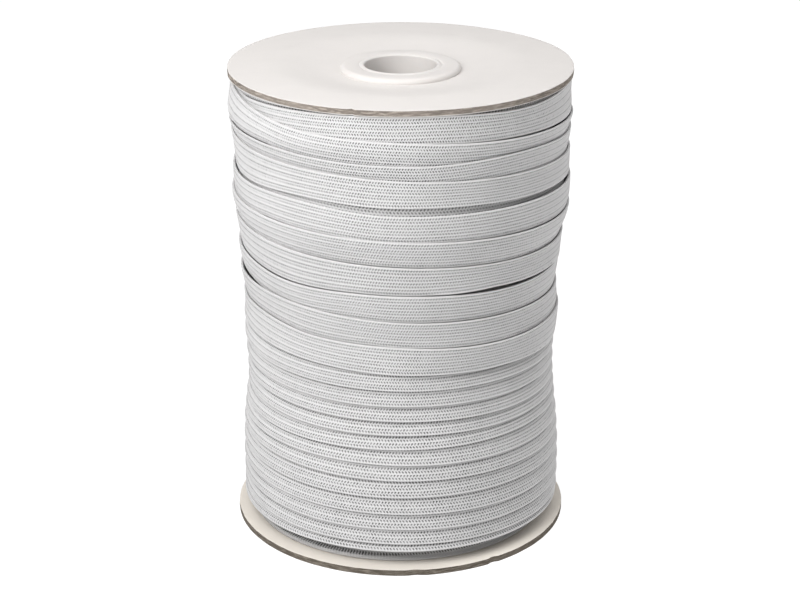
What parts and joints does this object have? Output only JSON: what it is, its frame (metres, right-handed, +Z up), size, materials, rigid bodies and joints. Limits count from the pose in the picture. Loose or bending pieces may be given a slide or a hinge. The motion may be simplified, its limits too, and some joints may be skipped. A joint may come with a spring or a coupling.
{
  "type": "roll of elastic",
  "caption": "Roll of narrow white braided elastic, wound in shingled turns on a round board spool with moulded plastic bushings and an open bore, standing on its lower flange.",
  "frame": {"origin": "on the ground under the middle of the spool, in the rim plane of the lower flange", "axes": "+Z up along the spool's axis. -Y faces the picture's camera and +X is to the viewer's right"},
  "size_m": [0.08, 0.0801, 0.112],
  "materials": {
    "braided_elastic": "matt braided yarn over rubber cords",
    "lined_board": "smooth white lining paper on greyboard, matt",
    "grey_board": "plain wound paper, matt",
    "moulded_plastic": "moulded, satin"
  },
  "bodies": {
    "root": {"elastic_winding": "braided_elastic", "flange_top": "lined_board", "flange_bottom": "lined_board", "core_tube": "grey_board", "bushing_top": "moulded_plastic", "bushing_bottom": "moulded_plastic"}
  },
  "joints": []
}
